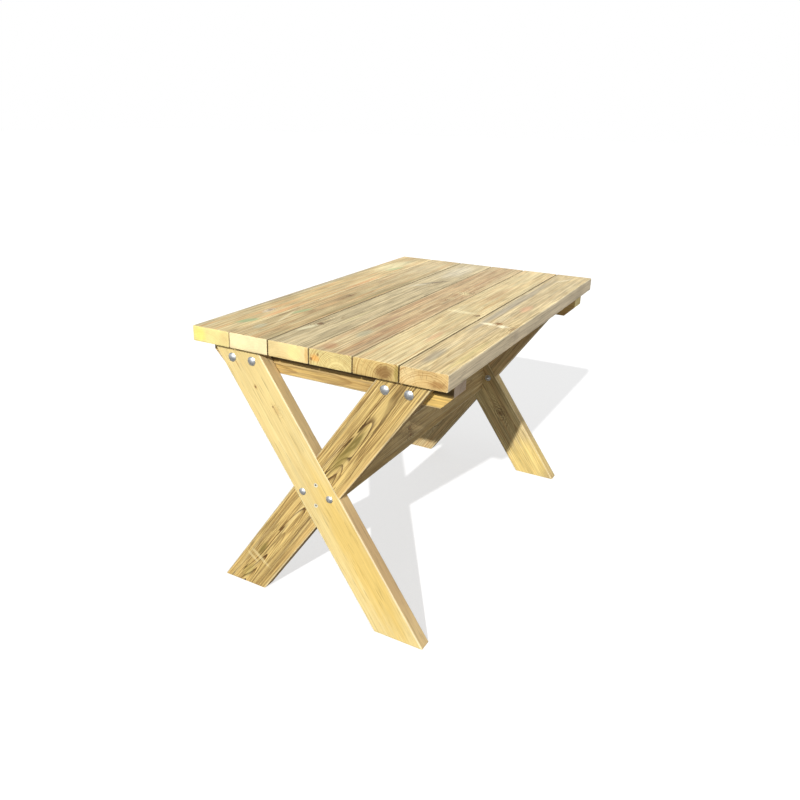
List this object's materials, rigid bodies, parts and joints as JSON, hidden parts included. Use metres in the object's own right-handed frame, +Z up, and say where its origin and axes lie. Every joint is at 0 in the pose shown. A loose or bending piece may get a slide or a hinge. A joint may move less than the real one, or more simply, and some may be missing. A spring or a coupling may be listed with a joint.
{
  "type": "picnic table",
  "caption": "Timber picnic table with crossed legs half-lapped at each end, bearers, a stretcher, coach bolts and a plank top.",
  "frame": {"origin": "on the ground, midway between the four feet", "axes": "+X across the table, +Y along it towards the far frame, +Z up"},
  "size_m": [0.736, 1.2, 0.765],
  "materials": {
    "top_timber": "planed, pressure-treated pine, slightly weathered",
    "leg_timber": "planed, pressure-treated pine",
    "bearer_timber": "planed, pressure-treated pine",
    "stretcher_timber": "planed, pressure-treated pine",
    "bolt_zinc": "bright zinc plate",
    "screw_zinc": "zinc plate, duller than the bolts"
  },
  "bodies": {
    "root": {"top_plank_1": "top_timber", "top_plank_2": "top_timber", "top_plank_3": "top_timber", "top_plank_4": "top_timber", "top_plank_5": "top_timber", "top_plank_6": "top_timber", "near_outer_leg": "leg_timber", "near_inner_leg": "leg_timber", "far_outer_leg": "leg_timber", "far_inner_leg": "leg_timber", "near_bearer": "bearer_timber", "far_bearer": "bearer_timber", "stretcher": "stretcher_timber", "near_leg_bolts": "bolt_zinc", "near_leg_washers": "bolt_zinc", "near_leg_nuts": "bolt_zinc", "far_leg_bolts": "bolt_zinc", "far_leg_washers": "bolt_zinc", "far_leg_nuts": "bolt_zinc", "near_cross_bolts": "bolt_zinc", "near_cross_washers": "bolt_zinc", "near_cross_nuts": "bolt_zinc", "far_cross_bolts": "bolt_zinc", "far_cross_washers": "bolt_zinc", "far_cross_nuts": "bolt_zinc", "near_stretcher_screws": "screw_zinc", "far_stretcher_screws": "screw_zinc", "near_plank_screws": "screw_zinc", "far_plank_screws": "screw_zinc"}
  },
  "joints": []
}
